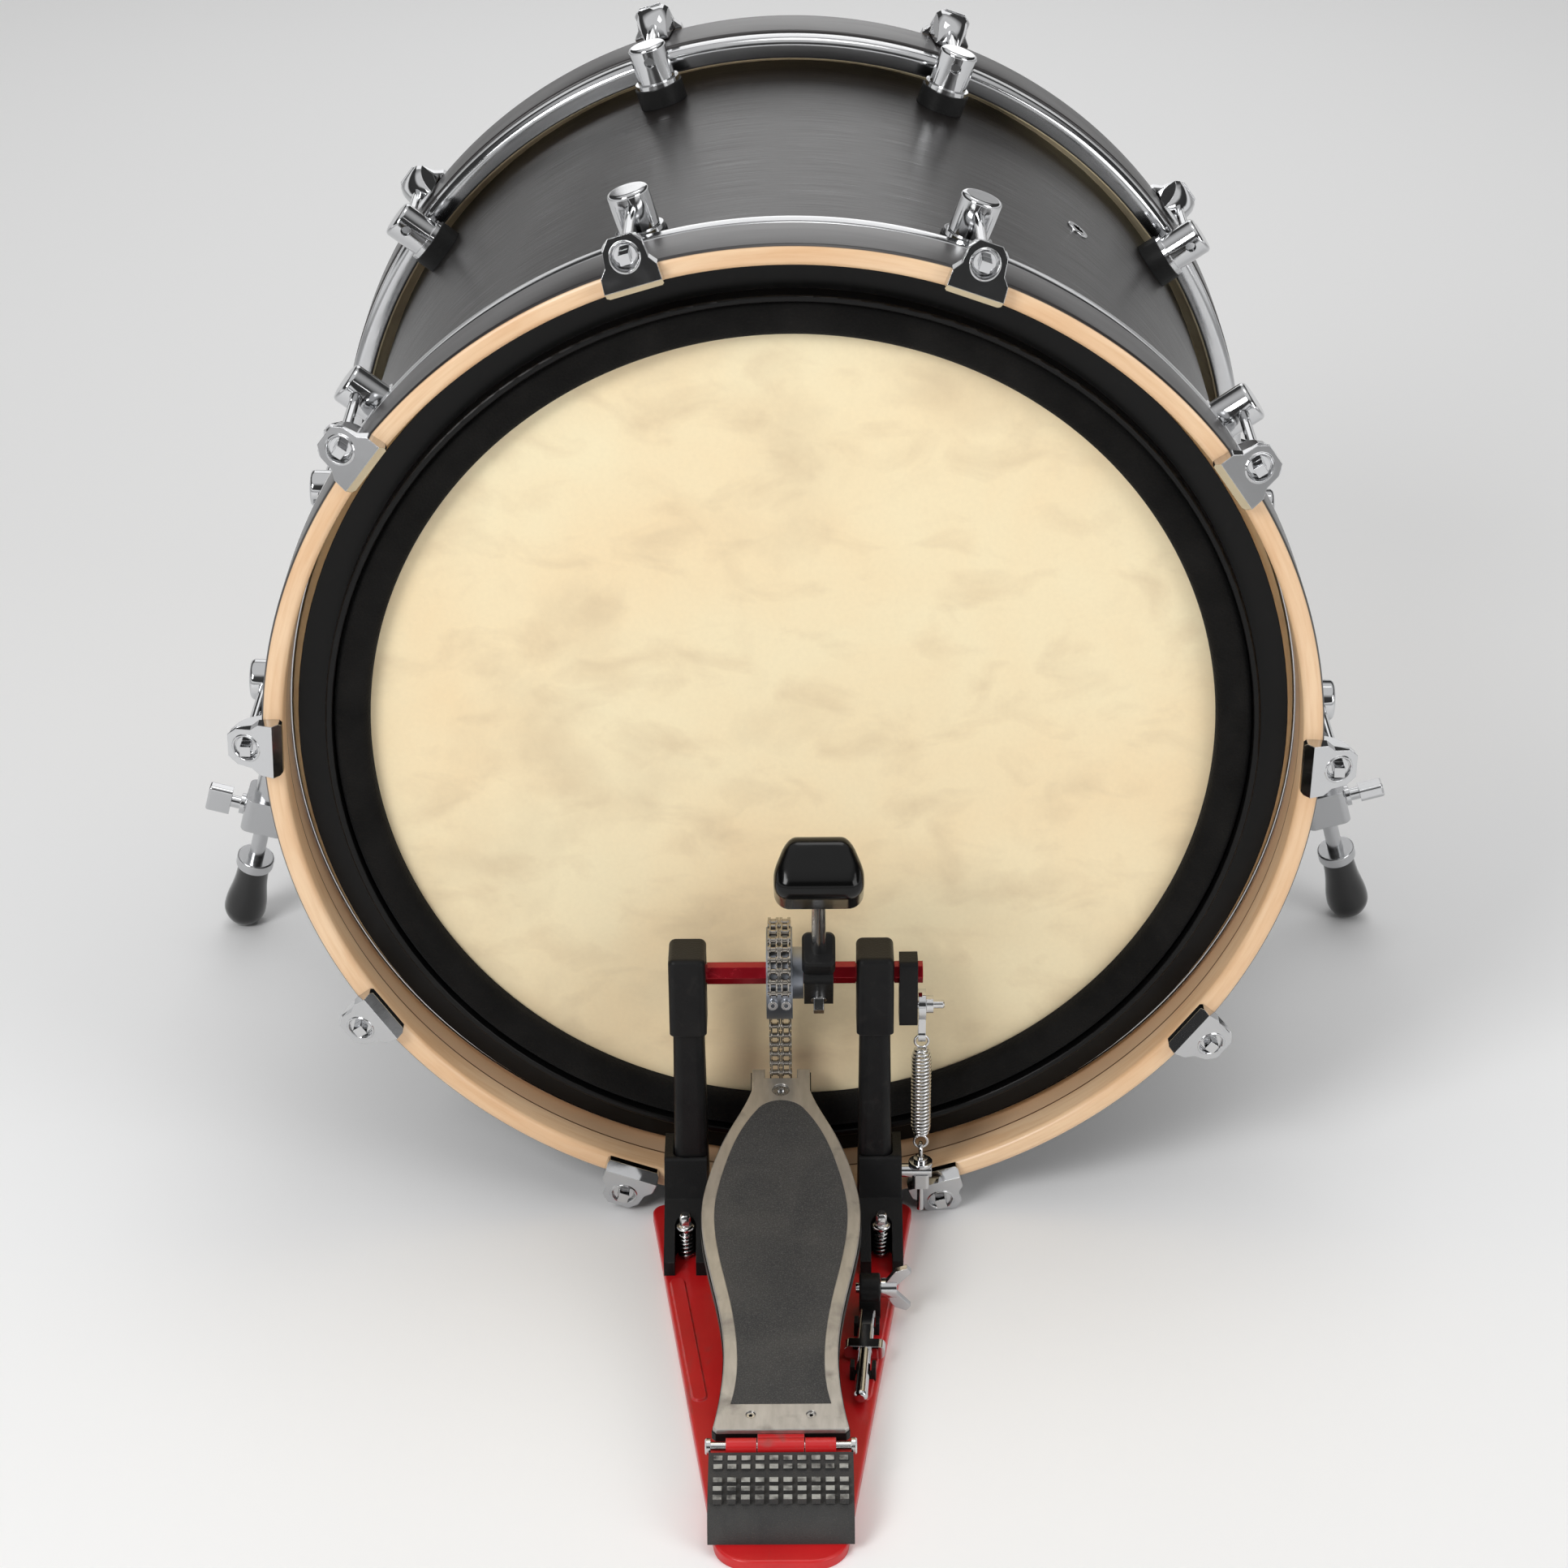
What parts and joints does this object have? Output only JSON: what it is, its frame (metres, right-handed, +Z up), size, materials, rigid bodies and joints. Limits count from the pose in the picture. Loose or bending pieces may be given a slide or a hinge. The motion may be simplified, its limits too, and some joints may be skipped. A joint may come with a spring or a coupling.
{
  "type": "bass drum",
  "caption": "Bass drum on folding spurs with wooden hoops, claw tension fittings, a damped head and a chain-driven foot pedal clamped to its hoop.",
  "frame": {"origin": "on the floor, at the middle of the whole object's footprint box", "axes": "+Z up, +Y from the player's pedal along the drum's axis to its front head, +X to the player's right"},
  "size_m": [0.794, 0.8216, 0.616],
  "materials": {
    "shell_wood": "dark satin lacquer over vertical grain",
    "maple": "satin clear lacquer",
    "head_ring": "satin, resin stained",
    "head_film": "fibrous matt film",
    "gloss_black": "glossy moulded",
    "foam": "open-cell foam",
    "chrome": "bright plated",
    "satin_chrome": "satin plated",
    "steel": "bright zinc",
    "wheel_grey": "cast grey",
    "rubber": "matt moulded",
    "vent_metal": "plated",
    "black_casting": "satin powder coat",
    "red_anodised": "satin anodised",
    "bare_aluminium": "worn satin",
    "grit": "gritty moulded mat"
  },
  "bodies": {
    "drum": {"shell": "shell_wood", "vent_grommet": "vent_metal", "batter_hoop": "maple", "front_hoop": "maple", "flesh_hoops": "head_ring", "batter_head": "head_film", "front_head": "head_film", "damping_ring": "gloss_black", "damping_foam": "foam", "claws": "chrome", "tension_rods": "chrome", "lugs": "chrome", "lug_isolators": "rubber", "lug_bolts": "steel", "spur_brackets": "satin_chrome", "spur_pins": "satin_chrome", "base_plate": "red_anodised", "heel_hinge": "red_anodised", "pedal_pins": "steel", "heel_plate": "red_anodised", "heel_pad": "grit", "posts": "black_casting", "anchor_blocks": "black_casting", "anchor_screws": "steel", "shaft_bearings": "steel", "spring_arm": "chrome", "spring_tensioner": "chrome", "pedal_brackets": "black_casting", "drum_key": "black_casting"},
    "footboard": {"footboard": "bare_aluminium", "footboard_pad": "grit", "footboard_frame": "black_casting", "footboard_screws": "steel", "hinge_tongue": "red_anodised"},
    "drive": {"drive_shaft": "red_anodised", "sprocket": "wheel_grey", "sprocket_chain": "steel", "beater_hub": "black_casting", "drive_screws": "steel", "spring_rocker": "black_casting"},
    "beater": {"beater_rod": "steel", "memory_lock": "black_casting", "beater_head": "gloss_black"},
    "chain": {"chain_run": "steel"},
    "spring_link": {"spring_link": "chrome"},
    "spring_end": {"spring": "steel"},
    "hoop_jaw": {"hoop_jaw": "black_casting"},
    "wing_screw": {"wing_screw": "chrome"},
    "left_leg": {"left_spur_tube": "satin_chrome", "left_spur_clamp": "satin_chrome"},
    "left_leg_rod": {"left_spur_rod": "satin_chrome", "left_spur_lock_nut": "satin_chrome"},
    "left_foot": {"left_spur_foot": "rubber"},
    "left_key_bolt": {"left_spur_key_bolt": "chrome"},
    "right_leg": {"right_spur_tube": "satin_chrome", "right_spur_clamp": "satin_chrome"},
    "right_leg_rod": {"right_spur_rod": "satin_chrome", "right_spur_lock_nut": "satin_chrome"},
    "right_foot": {"right_spur_foot": "rubber"},
    "right_key_bolt": {"right_spur_key_bolt": "chrome"}
  },
  "joints": [
    {"name": "footboard_press", "type": "hinge", "parent": "drum", "child": "footboard", "pos_m": [-0.0088, -0.34075, 0.027], "axis": [-1, 0, 0], "range_deg": [0, 5.14], "stiffness_Nm_per_rad": 60, "springref_deg": -2.86},
    {"name": "shaft_turn", "type": "hinge", "parent": "drum", "child": "drive", "pos_m": [-0.0088, -0.08975, 0.174], "axis": [-1, 0, 0], "range_deg": [0, 50.6]},
    {"name": "beater_height", "type": "slide", "parent": "drive", "child": "beater", "axis": [0, -0.6428, 0.766], "range_m": [0, 0.01]},
    {"name": "chain_hang", "type": "hinge", "parent": "drive", "child": "chain", "pos_m": [-0.0088, -0.06307, 0.18658], "axis": [-1, 0, 0], "range_deg": [-53, 0]},
    {"name": "spring_hook", "type": "hinge", "parent": "drive", "child": "spring_link", "pos_m": [0.0735, -0.08975, 0.1525], "axis": [-1, 0, 0], "range_deg": [-60, 0]},
    {"name": "spring_stretch", "type": "slide", "parent": "spring_link", "child": "spring_end", "axis": [0, 0, -1], "range_m": [0, 0.00925], "deforming": ["spring"]},
    {"name": "jaw_grip", "type": "hinge", "parent": "drum", "child": "hoop_jaw", "pos_m": [-0.0088, -0.09575, 0.015], "axis": [1, 0, 0], "range_deg": [0, 8]},
    {"name": "wing_turn", "type": "hinge", "parent": "drum", "child": "wing_screw", "pos_m": [0.0475, -0.18875, 0.0235], "axis": [1, 0, 0], "range_deg": [0, 360]},
    {"name": "left_leg_fold", "type": "hinge", "parent": "drum", "child": "left_leg", "pos_m": [-0.326, 0.24425, 0.209], "axis": [-0.9637, 0, 0.2672], "range_deg": [0, 103]},
    {"name": "left_leg_length", "type": "slide", "parent": "left_leg", "child": "left_leg_rod", "axis": [-0.26, 0.23, -0.9378], "range_m": [-0.02, 0.06]},
    {"name": "left_foot_turn", "type": "hinge", "parent": "left_leg_rod", "child": "left_foot", "pos_m": [-0.38, 0.29202, 0.01422], "axis": [-0.26, 0.23, -0.9378], "continuous": true},
    {"name": "left_key_turn", "type": "hinge", "parent": "left_leg", "child": "left_key_bolt", "pos_m": [-0.35655, 0.27127, 0.09881], "axis": [-0.9637, 0, 0.2672], "continuous": true},
    {"name": "right_leg_fold", "type": "hinge", "parent": "drum", "child": "right_leg", "pos_m": [0.326, 0.24425, 0.209], "axis": [-0.9637, 0, -0.2672], "range_deg": [0, 103]},
    {"name": "right_leg_length", "type": "slide", "parent": "right_leg", "child": "right_leg_rod", "axis": [0.26, 0.23, -0.9378], "range_m": [-0.02, 0.06]},
    {"name": "right_foot_turn", "type": "hinge", "parent": "right_leg_rod", "child": "right_foot", "pos_m": [0.38, 0.29202, 0.01422], "axis": [0.26, 0.23, -0.9378], "continuous": true},
    {"name": "right_key_turn", "type": "hinge", "parent": "right_leg", "child": "right_key_bolt", "pos_m": [0.35655, 0.27127, 0.09881], "axis": [0.9637, 0, 0.2672], "continuous": true}
  ],
  "couplings": [
    {"joint": "shaft_turn", "follows": "footboard_press", "ratio": 9.8154},
    {"joint": "chain_hang", "follows": "footboard_press", "ratio": -10.282},
    {"joint": "spring_hook", "follows": "footboard_press", "ratio": -11.633},
    {"joint": "spring_stretch", "follows": "footboard_press", "m_per_rad": 0.10245},
    {"joint": "wing_turn", "follows": "jaw_grip", "ratio": 45}
  ]
}
